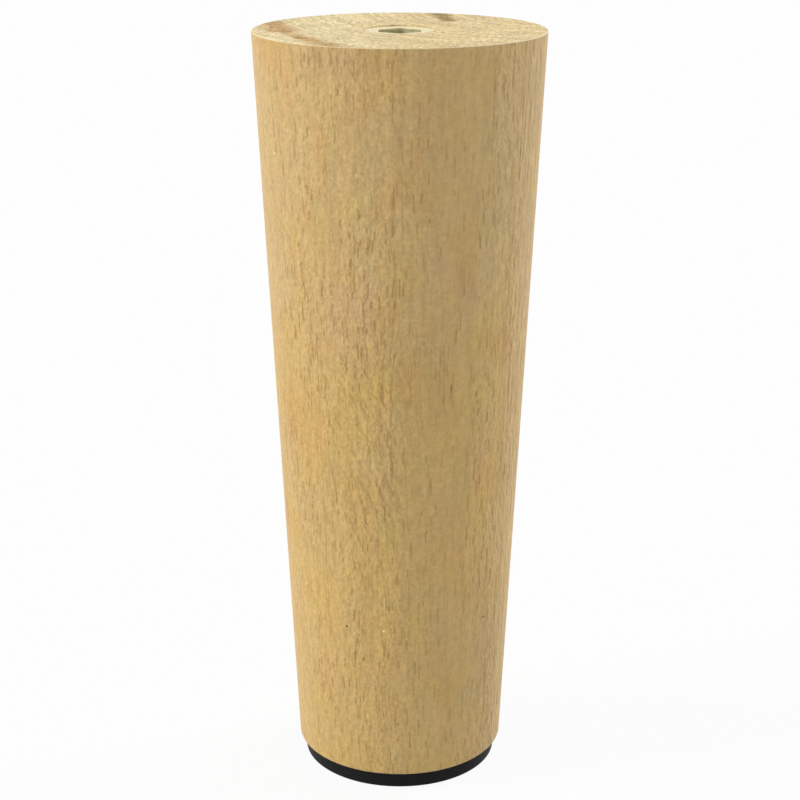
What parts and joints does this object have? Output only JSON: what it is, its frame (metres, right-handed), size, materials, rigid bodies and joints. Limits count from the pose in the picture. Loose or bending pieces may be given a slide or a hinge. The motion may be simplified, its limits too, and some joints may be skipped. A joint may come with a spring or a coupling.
{
  "type": "tapered wooden furniture leg",
  "caption": "Round tapered hardwood furniture leg with a threaded metal insert in its top face and a black plastic glide screwed under its foot.",
  "frame": {"origin": "centre of the glide's underside, where the leg meets the floor", "axes": "+Z along the leg's axis, from the foot to the fixing face; two flats of the hexagon socket face +X and -X"},
  "size_m": [0.056, 0.056, 0.15],
  "materials": {
    "wood": "pale open-pored hardwood, fine sanded and clear coated, satin",
    "insert_metal": "die-cast zinc alloy, pale, satin",
    "glide_plastic": "moulded black plastic, fine grained",
    "screw_steel": "bright zinc plated"
  },
  "bodies": {
    "root": {"leg_body": "wood", "threaded_insert": "insert_metal", "glide": "glide_plastic", "glide_screw": "screw_steel"}
  },
  "joints": []
}
